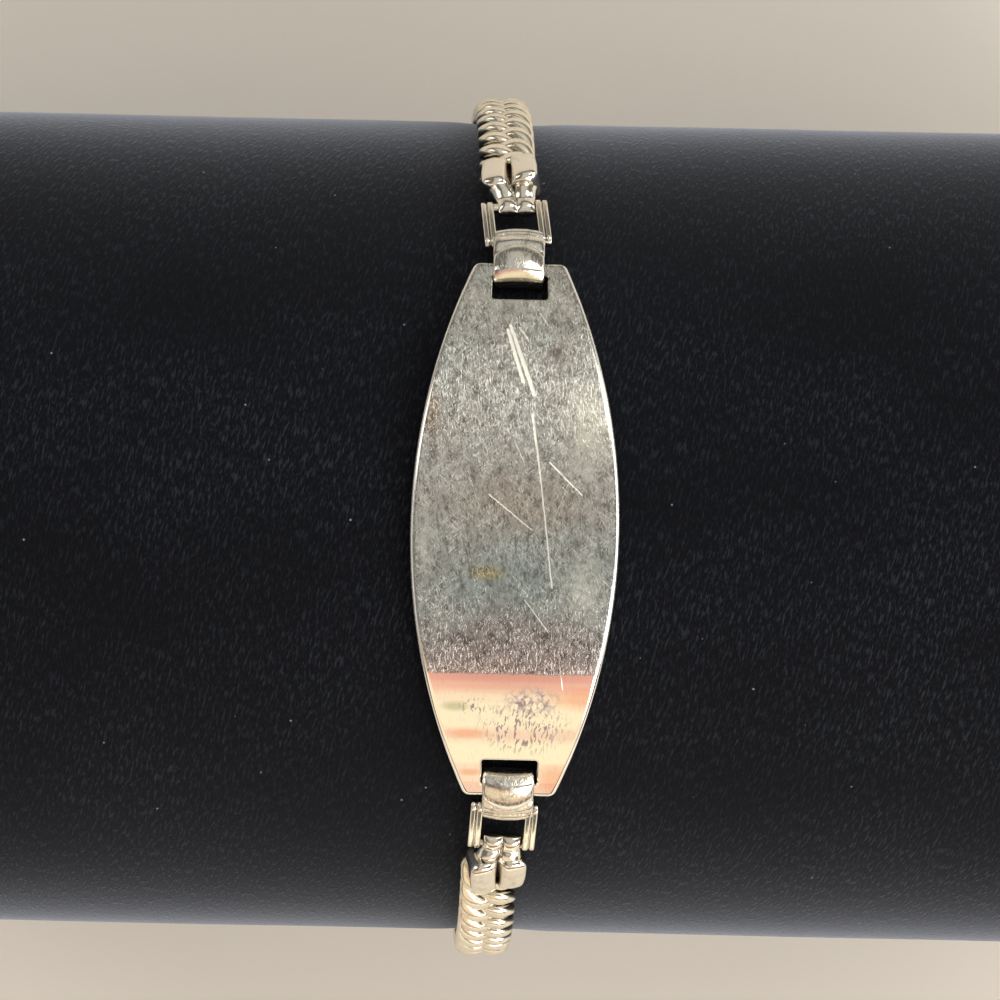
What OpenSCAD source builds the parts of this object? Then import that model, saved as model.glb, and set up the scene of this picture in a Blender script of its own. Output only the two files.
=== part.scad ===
// Id bracelet closed round a padded display roll that lies on its side.
// X runs along the roll, the plate's long axis runs along Y and the plate faces +Z.
// Each piece is placed by its angle on the loop, 0 at the middle of the plate and 180 at the clasp.

/* [Display roll] */
// Radius of the padded roll under its pile
roll_r = 29.8; // [29.5:0.1:29.8]
// Length of the roll
roll_length = 110; // [90:5:140]
// Rounding of the roll's ends
roll_edge = 4; // [2:0.5:6]
// Height of the roll's axis, lower than its radius because the padding flattens underneath
roll_axis_z = 28.9; // [28.7:0.1:29.1]

/* [Loop] */
// Radius of the middle line of the chain and the end caps
loop_r = 31.25; // [31.2:0.01:31.3]
// Height of the chain's middle line where the roll presses it flat
flat_z = 1.35; // [1.35:0.01:1.4]
// Bend radius where the round loop runs into its flat stretch
bend_r = 16; // [15:0.5:18]
// Sideways lean of the loop to -X for each millimetre below the plate
lean = 0.05; // [0:0.01:0.06]

/* [Name plate] */
// Greatest width
plate_w = 13.94; // [13:0.02:15]
// Thickness
plate_t = 0.95; // [0.8:0.05:1]
// Radius of the outer face
plate_r = 31.35; // [31.35:0.01:31.4]
// Half of the angle that the plate spans
plate_angle = 35.5; // [35.3:0.1:35.6]
// Radius of the two long curved sides in plan
plate_side_r = 44.5; // [42:0.5:48]
// How much of each of the four corners is cut off
plate_corner = 0.15; // [0.1:0.05:0.3]
// Width of each slot
slot_w = 3.75; // [3.7:0.01:3.9]
// Angle of the slot's edge nearest the plate's middle
slot_near = 29.8; // [29.4:0.1:30.2]
// Angle of the slot's edge nearest the plate's end
slot_far = 33.4; // [33.3:0.1:33.5]
// Rounding of the slot's corners
slot_corner = 0.2; // [0.1:0.05:0.2]

/* [Bails] */
// Angle of each bail's middle
bail_angle = 36; // [35.95:0.01:36.05]
// Width of the crowned part
bail_w = 3.54; // [3.4:0.02:3.54]
// Width where it curls between the bars of the frame link
bail_curl_w = 2.44; // [2.3:0.02:2.46]
// Half of its length round the loop
bail_half = 2.5; // [2.48:0.01:2.52]
// Radius of the crown
bail_crown_r = 3.1; // [3.05:0.05:3.15]
// Thickness of the crowned strap
bail_strap = 0.6; // [0.5:0.05:0.6]
// Thickness of the strap under the plate
bail_under = 0.35; // [0.25:0.05:0.35]
// Sideways place of each bail in its slot
bail_shift = -0.05; // [-0.06:0.01:0]

/* [Frame links] */
// Angle of each frame link's middle
frame_angle = 41.2; // [41.15:0.01:41.25]
// Radius on which its cross bars lie
bar_circle_r = 31; // [30.98:0.01:31.02]
// Radius of a cross bar
bar_r = 0.33; // [0.28:0.01:0.34]
// Angle of the cross bar that the bail holds
bail_bar_angle = 39; // [38.95:0.01:39.05]
// Angle of the cross bar that the end cap holds
cap_bar_angle = 44.4; // [44.35:0.01:44.45]
// Clear width between the side bars
frame_gap = 2.9; // [2.88:0.01:2.96]
// Width over both side bars
frame_w = 4.6; // [4.4:0.05:4.8]
// Length of the side bars
frame_length = 4.34; // [4.3:0.01:4.38]
// Height of the side bars
frame_h = 1.04; // [0.9:0.02:1.06]
// Sideways place of each frame link
frame_shift = -0.25; // [-0.26:0.01:-0.22]

/* [End caps] */
// Angle of the middle of the cap's two pillows
cap_angle = 49.25; // [49.2:0.01:49.3]
// Width over both pillows
cap_w = 4.28; // [4.2:0.02:4.4]
// Length of the pillows
cap_length = 2.9; // [2.88:0.01:2.92]
// Thickness of the pillows
cap_t = 2.6; // [2.6:0.01:2.64]
// Rounding of each pillow's long edges
cap_round = 0.65; // [0.6:0.05:0.7]
// Rounding of each pillow's ends
cap_end_round = 0.45; // [0.3:0.05:0.5]
// Width of the neck
neck_w = 2.5; // [2.4:0.02:2.52]
// Wall of the end that is rolled round the frame's bar
roll_wall = 0.25; // [0.2:0.01:0.26]

/* [Chain] */
// Links from each end cap to the clasp
links = 31; // [31:1:31]
// Half width of a link's middle line
link_a = 1.6; // [1.58:0.01:1.62]
// Half length of a link's middle line
link_b = 1.54; // [1.53:0.01:1.55]
// Rise and fall of a link's middle line out of its plane
link_c = 0.55; // [0.54:0.01:0.57]
// Radius of the link's wire
wire_r = 0.43; // [0.38:0.01:0.44]
// Straight stretches round a link
link_segments = 14; // [12:2:16]
// Sides of the link's wire
wire_sides = 6; // [5:1:6]

/* [Clasp] */
// Length
clasp_length = 16; // [14:1:18]
// Width
clasp_w = 4.4; // [4.2:0.1:4.5]

/* [Hidden] */
$fn = 96;

polished = "#c8c2b4";
chain_metal = "#bdb39c";
velvet = "#23252d";

// Gap between a rolled end and the bar that it holds
play = 0.08;
// Gap between a link and the pocket that holds it, and between the bail and what it wraps
room = 0.1;
// Overshoot of a cutting shape past the face that it cuts
over = 1;

// The link's half thickness, half length and half width, over its wire
link_half_t = link_c + wire_r;
link_half_l = link_b + wire_r;
// The pocket that holds a link: its half height, and its length on either side of the link's middle
pocket_half_t = link_half_t + room;
pocket_reach = link_half_l + 1.2 * room;
leaf_reach = 0.4;
// The post through the held link: its width and its two faces, from the link's middle
post_w = 0.95;
post_near = 0.1;
post_far = 0.85;

// The loop's flat stretch, the bend beside it and the round part above, as one smooth line
axis_to_flat = roll_axis_z - flat_z;
bend_y = sqrt(pow(loop_r - bend_r, 2) - pow(axis_to_flat - bend_r, 2));
bend_z = flat_z + bend_r;
bend_start = 180 - asin(bend_y / (loop_r - bend_r));
round_s = bend_start * PI / 180 * loop_r;
bend_s = round_s + (180 - bend_start) * PI / 180 * bend_r;
half_s = bend_s + bend_y;
loop_top_z = roll_axis_z + loop_r;

// The first link in its end cap and the last one in the clasp, as lengths along the loop
first_link_y = cap_length / 2 - leaf_reach;
first_s = (cap_angle + asin(first_link_y / loop_r)) * PI / 180 * loop_r;
last_s = half_s - clasp_length / 2 + leaf_reach;
pitch = (last_s - first_s) / (links - 1);

// Middle of the bail's crown, rounding of its lower edges and where its narrow curl begins
crown_y = -0.1;
crown_z = -1.7;
bail_corner = 0.45;
bail_step_y = 0.5;
// Height of the top of the strap under the plate, from the circle of the bars
bail_floor_z = plate_r - plate_t - bar_circle_r - room;

// The frame link's side bars: the drop of their middle below the circle of the cross bars,
// the width of the inner strip, the groove beside it and the drop of the outer strip
bar_sag = 0.035;
inner_strip_w = 0.4;
bar_groove_w = 0.08;
bar_groove_depth = 0.1;
outer_strip_drop = 0.04;

// The end cap's lobes: how far the two run into each other, below the rolled end and under the pillows
lobe_merge = 0.03;
lobe_drop = 0.05;
lobe_root = 0.3;

// The groove that the clasp and the flat stretch of the chain press into the roll, which
// begins a small angle after the bend does
groove_delay = 5;
groove_depth = 2 * flat_z + room;
groove_offset = groove_depth - flat_z;
groove_side = 0.3;
groove_w = clasp_w + 2 * groove_side;
groove_top_z = roll_axis_z + roll_r * cos(bend_start + groove_delay);
groove_x = -lean * (loop_top_z - (flat_z + groove_top_z) / 2);

// Place along the loop for a length s from the middle of the plate
function loop_angle(s) =
    s < round_s ? s / loop_r * 180 / PI :
    s < bend_s ? bend_start + (s - round_s) / bend_r * 180 / PI : 180;
function loop_point(s) =
    let (a = loop_angle(s))
    s < round_s ? [loop_r * sin(a), roll_axis_z + loop_r * cos(a)] :
    s < bend_s ? [bend_y + bend_r * sin(a), bend_z + bend_r * cos(a)] :
    [bend_y - (s - bend_s), flat_z];

function unit(v) = v / norm(v);

// Points round one closed link, a flat oval that is twisted so that its neighbours pass through it
function link_point(t) = [link_a * sin(t), link_b * cos(t), link_c * sin(2 * t)];
function link_direction(t) = unit([link_a * cos(t), -link_b * sin(t), 2 * link_c * cos(2 * t)]);
function link_ring(t) =
    let (side = unit(cross(link_direction(t), [0, 0, 1])), up = cross(side, link_direction(t)))
    [for (k = [0 : wire_sides - 1])
        let (a = 360 * k / wire_sides)
        link_point(t) + wire_r * (cos(a) * side + sin(a) * up)];
link_points = [for (i = [0 : link_segments - 1]) each link_ring(360 * i / link_segments)];
link_faces = [
    for (i = [0 : link_segments - 1], k = [0 : wire_sides - 1])
        let (j = (i + 1) % link_segments, m = (k + 1) % wire_sides,
             a = i * wire_sides + k, b = i * wire_sides + m,
             c = j * wire_sides + m, d = j * wire_sides + k)
        each [[a, b, c], [a, c, d]]];

// Turns a piece of the upper half, seen as the far half of the plate, to the lower half
module half(side) {
    rotate([0, 0, side > 0 ? 0 : 180]) children();
}

// Puts a piece at an angle of the round part of the loop, with its Y along the loop and Z outwards
module at_angle(side, angle, radius, shift, yaw) {
    half(side)
        translate([side * shift, radius * sin(angle), roll_axis_z + radius * cos(angle)])
            rotate([-angle, 0, 0])
                rotate([0, 0, side * yaw])
                    children();
}

// The sideways place and turn that the lean of the loop gives to a piece
function lean_shift(z) = -lean * (loop_top_z - z);
function lean_yaw(angle) = atan(lean * sin(angle));

// Puts a link at a length along the loop
module at_length(side, s) {
    point = loop_point(s);
    angle = loop_angle(s);
    half(side)
        translate([side * lean_shift(point[1]), point[0], point[1]])
            rotate([-angle, 0, 0])
                rotate([0, 0, side * lean_yaw(angle)])
                    children();
}

// A profile drawn in the plane along and across the strap, drawn out along X
module across(width) {
    rotate([90, 0, 90])
        translate([0, 0, -width / 2])
            linear_extrude(height = width)
                children();
}

// A rectangle with round corners, centred
module rounded(size, radius) {
    square([size[0] - 2 * radius, size[1]], center = true);
    square([size[0], size[1] - 2 * radius], center = true);
    for (x = [-1, 1], y = [-1, 1])
        translate([x * (size[0] / 2 - radius), y * (size[1] / 2 - radius)])
            circle(r = radius);
}

// The plate's outline in plan: two long arcs that meet beyond the plate's ends
module plate_outline() {
    reach = plate_side_r - plate_w / 2;
    intersection() {
        translate([-reach, 0]) circle(r = plate_side_r);
        translate([reach, 0]) circle(r = plate_side_r);
    }
}

// The bent strip that the plate is cut from
module plate_strip() {
    rotate([0, -90, 0])
        rotate([0, 0, -plate_angle])
            rotate_extrude(angle = 2 * plate_angle)
                translate([plate_r - plate_t, -plate_w / 2])
                    square([plate_t, plate_w]);
}

// What cuts one corner of the plate off, square to the line that halves the corner
module plate_corner_cut() {
    end_y = plate_r * sin(plate_angle);
    end_run = sqrt(pow(plate_side_r, 2) - pow(end_y, 2));
    end_half_w = plate_w / 2 - plate_side_r + end_run;
    tilt = atan(end_y / end_run * cos(plate_angle));
    translate([end_half_w, 0, 0])
        rotate([0, 0, (90 + tilt) / 2])
            translate([over - plate_corner, 0, 0])
                cube([2 * over, 2 * over, 4 * plate_t], center = true);
}

module id_plate() {
    slot_angle = (slot_near + slot_far) / 2;
    slot_length = 2 * plate_r * sin((slot_far - slot_near) / 2);
    color(polished)
    difference() {
        intersection() {
            translate([0, 0, roll_axis_z]) plate_strip();
            translate([0, 0, roll_axis_z]) linear_extrude(height = plate_r + over) plate_outline();
        }
        for (side = [-1, 1]) {
            at_angle(side, slot_angle, plate_r, 0, 0)
                translate([0, 0, -2 * plate_t])
                    linear_extrude(height = 3 * plate_t)
                        rounded([slot_w, slot_length], slot_corner);
            for (x = [0, 1])
                at_angle(side, plate_angle, plate_r, 0, 0)
                    mirror([x, 0, 0])
                        plate_corner_cut();
        }
    }
}

// The bail's outline seen along the roll: a crown above, a flat strap with round corners below
module bail_outside() {
    under_z = bail_floor_z - bail_under;
    flat_half = bail_half - bail_corner;
    intersection() {
        translate([crown_y, crown_z]) circle(r = bail_crown_r);
        union() {
            translate([-bail_half, under_z + bail_corner]) square([2 * bail_half, bail_crown_r]);
            translate([-flat_half, under_z]) square([2 * flat_half, bail_crown_r]);
            for (y = [-1, 1])
                translate([y * flat_half, under_z + bail_corner]) circle(r = bail_corner);
        }
    }
}

// The room in the bail for the plate's end bar, and for the frame link's bar
module bail_inside() {
    bar_y = bar_circle_r * sin(bail_bar_angle - bail_angle);
    bar_z = bar_circle_r * (cos(bail_bar_angle - bail_angle) - 1);
    wall_y = bail_strap - bail_half;
    intersection() {
        translate([crown_y, crown_z]) circle(r = bail_crown_r - bail_strap);
        translate([wall_y, bail_floor_z]) square([bar_y - wall_y, bail_crown_r]);
    }
    translate([0, bail_floor_z]) square([bar_y, -bail_floor_z]);
    translate([bar_y, bar_z]) circle(r = bar_r + room);
}

module bail(side) {
    color(polished)
    at_angle(side, bail_angle, bar_circle_r, bail_shift, 0)
        difference() {
            across(bail_w) difference() {
                bail_outside();
                bail_inside();
            }
            for (x = [-1, 1])
                translate([x * (bail_curl_w / 2 + over), bail_step_y + bail_half, 0])
                    cube([2 * over, 2 * bail_half, 4 * over], center = true);
        }
}

// A strip of a side bar with round ends, from one X to another and lower than the highest by a drop
module bar_strip(start_x, end_x, drop) {
    length = frame_length - 2 * drop;
    height = frame_h - 2 * drop;
    translate([(start_x + end_x) / 2, 0, -bar_sag])
        across(end_x - start_x) {
            square([length - height, height], center = true);
            for (y = [-1, 1])
                translate([y * (length - height) / 2, 0]) circle(d = height);
        }
}

// One side bar of the frame link: a broad inner strip, a narrow groove and a lower outer strip
module side_bar() {
    inner_x = frame_gap / 2;
    outer_x = frame_w / 2;
    cut_x = inner_x + inner_strip_w;
    bar_strip(inner_x, outer_x, bar_groove_depth);
    bar_strip(inner_x, cut_x, 0);
    bar_strip(cut_x + bar_groove_w, outer_x, outer_strip_drop);
}

module frame_link(side) {
    color(polished)
    at_angle(side, frame_angle, bar_circle_r, frame_shift, lean_yaw(frame_angle)) {
        for (x = [0, 1])
            mirror([x, 0, 0]) side_bar();
        for (angle = [bail_bar_angle, cap_bar_angle])
            translate([0, bar_circle_r * sin(angle - frame_angle),
                       bar_circle_r * (cos(angle - frame_angle) - 1)])
                rotate([0, 90, 0])
                    cylinder(r = bar_r, h = frame_gap + over / 2, center = true);
    }
}

// Two rounded lobes that meet side by side, seen along the chain
module lobes(width, thickness, radius) {
    for (x = [-1, 1])
        translate([x * (width / 4 - lobe_merge), 0])
            rounded([width / 2 + 2 * lobe_merge, thickness], radius);
}

// What a crimped end leaves free for a link: a pocket open to both sides, past a post
module link_pocket(width) {
    difference() {
        translate([-width / 2 - over, -pocket_reach, -pocket_half_t])
            cube([width + 2 * over, pocket_reach + leaf_reach + over, 2 * pocket_half_t]);
        translate([-post_w / 2, -post_far, -pocket_half_t - over])
            cube([post_w, post_far - post_near, 2 * (pocket_half_t + over)]);
    }
}

module end_cap(side) {
    bar_y = bar_circle_r * sin(cap_bar_angle - cap_angle);
    bar_z = bar_circle_r * cos(cap_bar_angle - cap_angle) - loop_r;
    tube_r = bar_r + play + roll_wall;
    lobe_r = neck_w / 4 + lobe_merge;
    lobe_x = neck_w / 2 - lobe_r;
    lobe_z = bar_z + tube_r - lobe_r - lobe_drop;
    shift = lean_shift(roll_axis_z + loop_r * cos(cap_angle));
    color(polished)
    at_angle(side, cap_angle, loop_r, shift, lean_yaw(cap_angle))
        difference() {
            union() {
                intersection() {
                    rotate([90, 0, 0])
                        translate([0, 0, -cap_length / 2])
                            linear_extrude(height = cap_length)
                                lobes(cap_w, cap_t, cap_round);
                    across(cap_w + over) rounded([cap_length, cap_t], cap_end_round);
                }
                for (x = [-1, 1])
                    translate([x * lobe_x, lobe_root - cap_length / 2, lobe_z])
                        rotate([90, 0, 0])
                            cylinder(r = lobe_r, h = lobe_root - cap_length / 2 - bar_y);
                translate([0, bar_y, bar_z])
                    rotate([0, 90, 0])
                        cylinder(r = tube_r, h = neck_w, center = true);
            }
            translate([0, bar_y, bar_z])
                rotate([0, 90, 0])
                    cylinder(r = bar_r + play, h = neck_w + over, center = true);
            translate([0, first_link_y, 0]) link_pocket(cap_w);
        }
}

module chain_link() {
    polyhedron(points = link_points, faces = link_faces);
}

module chain(side) {
    color(chain_metal)
    for (i = [0 : links - 1])
        at_length(side, first_s + i * pitch)
            chain_link();
}

module clasp() {
    last_y = clasp_length / 2 - leaf_reach;
    color(polished)
    translate([lean_shift(flat_z), 0, flat_z])
        difference() {
            intersection() {
                rotate([90, 0, 0])
                    translate([0, 0, -clasp_length / 2])
                        linear_extrude(height = clasp_length)
                            rounded([clasp_w, 2 * flat_z], cap_round);
                across(clasp_w + over) rounded([clasp_length, 2 * flat_z], cap_end_round);
            }
            for (turn = [0, 180])
                rotate([0, 0, turn])
                    translate([0, last_y, 0])
                        link_pocket(clasp_w);
        }
}

// What the groove under the roll takes away, seen along the roll
module groove_outline() {
    half_y = roll_r;
    difference() {
        translate([-half_y, -over]) square([2 * half_y, groove_top_z + over]);
        translate([-bend_y, groove_depth]) square([2 * bend_y, bend_z]);
        for (y = [-1, 1])
            translate([y * bend_y, bend_z]) circle(r = bend_r - groove_offset);
    }
}

module display_roll() {
    color(velvet)
    difference() {
        translate([0, 0, roll_axis_z])
            rotate([0, 90, 0])
                rotate_extrude()
                    intersection() {
                        rounded([2 * roll_r, roll_length], roll_edge);
                        translate([0, -roll_length / 2]) square([roll_r, roll_length]);
                    }
        translate([-roll_length / 2 - over, -roll_r, -roll_r])
            cube([roll_length + 2 * over, 2 * roll_r, roll_r]);
        translate([groove_x, 0, 0]) across(groove_w) groove_outline();
    }
}

id_plate();
bail(1);  // bail_upper
bail(-1);  // bail_lower
frame_link(1);  // frame_link_upper
frame_link(-1);  // frame_link_lower
end_cap(1);  // end_cap_upper
end_cap(-1);  // end_cap_lower
chain(1);  // chain_upper
chain(-1);  // chain_lower
clasp();
display_roll();
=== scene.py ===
import math
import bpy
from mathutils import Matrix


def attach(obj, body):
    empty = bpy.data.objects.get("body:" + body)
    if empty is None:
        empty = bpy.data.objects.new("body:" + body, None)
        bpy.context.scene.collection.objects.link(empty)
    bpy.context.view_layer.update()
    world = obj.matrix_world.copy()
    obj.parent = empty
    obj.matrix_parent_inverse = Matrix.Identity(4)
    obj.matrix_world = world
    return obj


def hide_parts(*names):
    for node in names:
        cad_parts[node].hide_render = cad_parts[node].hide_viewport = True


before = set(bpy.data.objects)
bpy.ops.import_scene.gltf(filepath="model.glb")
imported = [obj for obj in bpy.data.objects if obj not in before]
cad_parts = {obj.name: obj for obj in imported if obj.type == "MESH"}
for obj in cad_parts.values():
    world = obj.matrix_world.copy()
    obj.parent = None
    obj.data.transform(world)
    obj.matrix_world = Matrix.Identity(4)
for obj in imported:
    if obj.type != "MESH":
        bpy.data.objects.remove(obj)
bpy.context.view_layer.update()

from types import SimpleNamespace

import bmesh
import bpy
from mathutils import Matrix, Vector, noise

# An id bracelet closed round a padded velvet display roll that lies on its side.
# Lengths are in millimetres, and each mesh is scaled to metres as it is made.
MM = 0.001

# The roll and the loop round it, as in the solids
ROLL_R = 29.8
ROLL_HALF = 55.0
ROLL_EDGE = 4.0
AXIS_Z = 28.9
LOOP_R = 31.25
FLAT_Z = 1.35
BEND_R = 16.0
LEAN = 0.05
LOOP_TOP_Z = AXIS_Z + LOOP_R

# Underneath, the loop runs through a closer bend into a flat stretch: the middle of that bend
BEND_Y = math.sqrt((LOOP_R - BEND_R) ** 2 - (AXIS_Z - FLAT_Z - BEND_R) ** 2)
BEND_Z = FLAT_Z + BEND_R

# The name plate
PLATE_R = 31.35
PLATE_T = 0.95
PLATE_HALF_W = 6.97
PLATE_SIDE_R = 44.5
PLATE_HALF_L = 19.42
PLATE_CORNER = 0.45
SLOT_HALF_W = 1.875
SLOT_NEAR = 16.31
SLOT_FAR = 18.28
SLOT_CORNER = 0.2

# The fittings between the plate and the chain
BAR_CIRCLE_R = 31.0
BAR_R = 0.33
FRAME_ANGLE = 41.2
BAIL_BAR_ANGLE = 39.0
CAP_BAR_ANGLE = 44.4
FRAME_GAP = 2.9
FRAME_W = 4.6
FRAME_LENGTH = 4.34
FRAME_H = 1.04
CAP_W = 4.0
CAP_LENGTH = 2.8
CAP_T = 2.5
CAP_ROLL = 12.0
NECK_R = 0.62
LOBE_HALF_W = 0.78
LOBE_APART = 0.60

# Where the fittings of each half of the loop sit: angles, shifts along X and yaw
UPPER = SimpleNamespace(
    name="upper", side=1, bail_angle=36.65, bail_x=-0.1, curl_y=1.85, frame_angle=42.4, frame_x=-0.35,
    frame_yaw=5.5, neck_x=0.05, cap_bar_angle=45.5, cap_angle=50.9, cap_x=-0.75, chain_x=-0.45)
LOWER = SimpleNamespace(
    name="lower", side=-1, bail_angle=36.0, bail_x=-0.05, curl_y=1.3, frame_angle=40.8, frame_x=-0.35,
    frame_yaw=3.0, neck_x=0.0, cap_bar_angle=43.7, cap_angle=48.3, cap_x=-0.75, chain_x=-0.6)

# The chain: its links are flat twisted ovals of thick wire. The first one lies a length past the
# middle of its cap, and the last one stays a length short of the middle underneath.
LINKS = 31
LINK_HALF_W = 1.58
LINK_HALF_L = 1.44
LINK_TWIST = 0.50
LINK_PHASE = 35.0
WIRE_HALF_W = 0.66
WIRE_SIDE_SHARE = 0.62
WIRE_HALF_T = 0.42
WIRE_POWER = 2.7
CHAIN_SINK = 0.38
CHAIN_ROLL = 7.0
CHAIN_SETTLE = 60.0
FIRST_PAST_CAP = 1.05
CLASP_REST = 7.6

# Edges that turn by more than this many degrees stay sharp
SHARP = 55

# The camera, straight above the plate, and the size of its picture
CAMERA_X = -1.03
CAMERA_Y = 1.99
CAMERA_Z = 310.2
CAMERA_TURN = math.radians(1.28)
PICTURE = 1000
FOCAL_PX = 3768
SENSOR = 36.0


def camera():
    """The camera at the photo's place and angle."""
    data = bpy.data.cameras.new("camera")
    data.sensor_width = SENSOR
    data.lens = FOCAL_PX / PICTURE * SENSOR
    data.clip_start = 0.01
    data.clip_end = 20
    obj = bpy.data.objects.new("camera", data)
    bpy.context.scene.collection.objects.link(obj)
    obj.location = MM * Vector((CAMERA_X, CAMERA_Y, CAMERA_Z))
    obj.rotation_euler = (0, 0, CAMERA_TURN)
    bpy.context.scene.camera = obj


def seen_ray(px, py):
    """The direction from the camera through a pixel of the picture."""
    right = Vector((math.cos(CAMERA_TURN), math.sin(CAMERA_TURN), 0))
    up = Vector((-math.sin(CAMERA_TURN), math.cos(CAMERA_TURN), 0))
    middle = PICTURE / 2
    ray = Vector((0, 0, -1)) + (px - middle) / FOCAL_PX * right - (py - middle) / FOCAL_PX * up
    return ray.normalized()


def on_plate(px, py):
    """The point of the plate's outer face that shows at a pixel."""
    ray = seen_ray(px, py)
    start = Vector((CAMERA_X, CAMERA_Y, CAMERA_Z - AXIS_Z))
    a = ray.y ** 2 + ray.z ** 2
    b = start.y * ray.y + start.z * ray.z
    c = start.y ** 2 + start.z ** 2 - PLATE_R ** 2
    point = start + (-b - math.sqrt(b * b - a * c)) / a * ray
    return point + Vector((0, 0, AXIS_Z))


def mirrored(px, py, distance):
    """The point at a distance from the plate that is mirrored at a pixel."""
    point = on_plate(px, py)
    normal = (point - Vector((point.x, 0, AXIS_Z))).normalized()
    ray = seen_ray(px, py)
    return point + distance * (ray - 2 * ray.dot(normal) * normal)


# Places round the loop


def turn(degrees, axis):
    return Matrix.Rotation(math.radians(degrees), 4, axis)


def half_turn(side):
    """The lower half of the loop is the upper one turned round."""
    return turn(0 if side > 0 else 180, "Z")


def at_angle(side, angle, radius, shift=0.0, yaw=0.0):
    """The place at an angle of the loop: Y runs along the loop and Z outwards."""
    a = math.radians(angle)
    move = Matrix.Translation((side * shift, radius * math.sin(a), AXIS_Z + radius * math.cos(a)))
    return half_turn(side) @ move @ turn(-angle, "X") @ turn(side * yaw, "Z")


def lean_shift(z):
    """How far the leaning loop lies from its middle at a height."""
    return -LEAN * (LOOP_TOP_Z - z)


def lean_yaw(angle):
    """How far a piece of the leaning loop is turned at an angle of the loop."""
    return math.degrees(math.atan(LEAN * math.sin(math.radians(angle))))


def loop_stations(cap_angle):
    """The places of the chain's links along the upper half of the loop: angle, Y and Z."""
    bend_start = 180 - math.degrees(math.asin(BEND_Y / (LOOP_R - BEND_R)))
    round_s = math.radians(bend_start) * LOOP_R
    bend_s = round_s + math.radians(180 - bend_start) * BEND_R
    first_s = (math.radians(cap_angle) + math.asin(FIRST_PAST_CAP / LOOP_R)) * LOOP_R
    last_s = bend_s + BEND_Y - CLASP_REST
    pitch = (last_s - first_s) / (LINKS - 1)
    stations = []
    for i in range(LINKS):
        s = first_s + i * pitch
        if s < round_s:
            a = s / LOOP_R
            stations.append((math.degrees(a), LOOP_R * math.sin(a), AXIS_Z + LOOP_R * math.cos(a)))
        elif s < bend_s:
            a = math.radians(bend_start) + (s - round_s) / BEND_R
            stations.append((math.degrees(a), BEND_Y + BEND_R * math.sin(a), BEND_Z + BEND_R * math.cos(a)))
        else:
            stations.append((180, BEND_Y - (s - bend_s), FLAT_Z))
    return stations


# Meshes


class Shape:
    """Points and faces of one piece, gathered from several closed forms."""

    def __init__(self):
        self.points = []
        self.faces = []

    def add(self, points, faces, place=Matrix()):
        start = len(self.points)
        self.points += [place @ Vector(p) for p in points]
        self.faces += [[start + i for i in face] for face in faces]

    def piece(self, name, material, slot, *nodes):
        """One object of the gathered forms, which takes the place of CAD nodes."""
        mesh = bpy.data.meshes.new(name)
        mesh.from_pydata([MM * p for p in self.points], [], self.faces)
        bm = bmesh.new()
        bm.from_mesh(mesh)
        bmesh.ops.recalc_face_normals(bm, faces=bm.faces)
        bm.to_mesh(mesh)
        bm.free()
        mesh.materials.append(material)
        mesh.polygons.foreach_set("use_smooth", [True] * len(mesh.polygons))
        mesh.set_sharp_from_angle(angle=math.radians(SHARP))
        obj = bpy.data.objects.new(name, mesh)
        bpy.context.scene.collection.objects.link(obj)
        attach(obj, "root")
        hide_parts(*nodes)
        return obj


def ring_faces(rings, count, closed=True):
    """Quads between rings of points, one ring after another."""
    faces = []
    for i in range(rings if closed else rings - 1):
        for k in range(count):
            j, m = (i + 1) % rings, (k + 1) % count
            faces.append([i * count + k, i * count + m, j * count + m, j * count + k])
    return faces


def puffed_box(half, power, steps):
    """A box with bulging faces and round edges: all the points where the powers add up to one."""
    points, index, faces = [], {}, []

    def corner(p):
        key = tuple(round(c, 5) for c in p)
        if key not in index:
            grow = sum(abs(c) ** power for c in p) ** (-1 / power)
            index[key] = len(points)
            points.append(tuple(grow * c * h for c, h in zip(p, half)))
        return index[key]

    grid = [math.tan(math.radians(-45 + 90 * i / steps)) for i in range(steps + 1)]
    for axis in range(3):
        for side in (-1, 1):
            for i in range(steps):
                for j in range(steps):
                    square = [(grid[i], grid[j]), (grid[i + 1], grid[j]),
                              (grid[i + 1], grid[j + 1]), (grid[i], grid[j + 1])]
                    if side < 0:
                        square.reverse()
                    faces.append([corner(place_on(axis, side, u, v)) for u, v in square])
    return points, faces


def place_on(axis, side, u, v):
    """The point of a cube's face at two places across it."""
    p = [u, v]
    p.insert(axis, side)
    return (p[0], p[1], p[2]) if axis != 1 else (p[2], side, p[0])


def arc(centre, radius, start, end, steps):
    """Points of an arc in the plane, by its angles in degrees."""
    turns = [math.radians(start + (end - start) * i / steps) for i in range(steps + 1)]
    return [(centre[0] + radius * math.cos(t), centre[1] + radius * math.sin(t)) for t in turns]


def puffed_ring(half_a, half_b, power, count):
    """Points of an oval whose sides are flatter as the power grows."""
    ring = []
    for k in range(count):
        t = 2 * math.pi * k / count
        u, v = math.cos(t), math.sin(t)
        grow = (abs(u) ** power + abs(v) ** power) ** (-1 / power)
        ring.append((half_a * grow * u, half_b * grow * v))
    return ring


def loft(rings):
    """A skin over rings of points, closed by a flat face at both ends."""
    count = len(rings[0])
    points = [p for ring in rings for p in ring]
    faces = ring_faces(len(rings), count, closed=False)
    faces.append(list(range(count)))
    faces.append([(len(rings) - 1) * count + k for k in range(count)])
    return points, faces


def fall(distance, width, height, power=1.6):
    """How far a face has fallen at a distance from its rounded edge."""
    if distance >= width:
        return 0.0
    share = 1 - max(distance, 0.0) / width
    return height * (1 - (1 - share ** power) ** (1 / power))


# Materials


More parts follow.
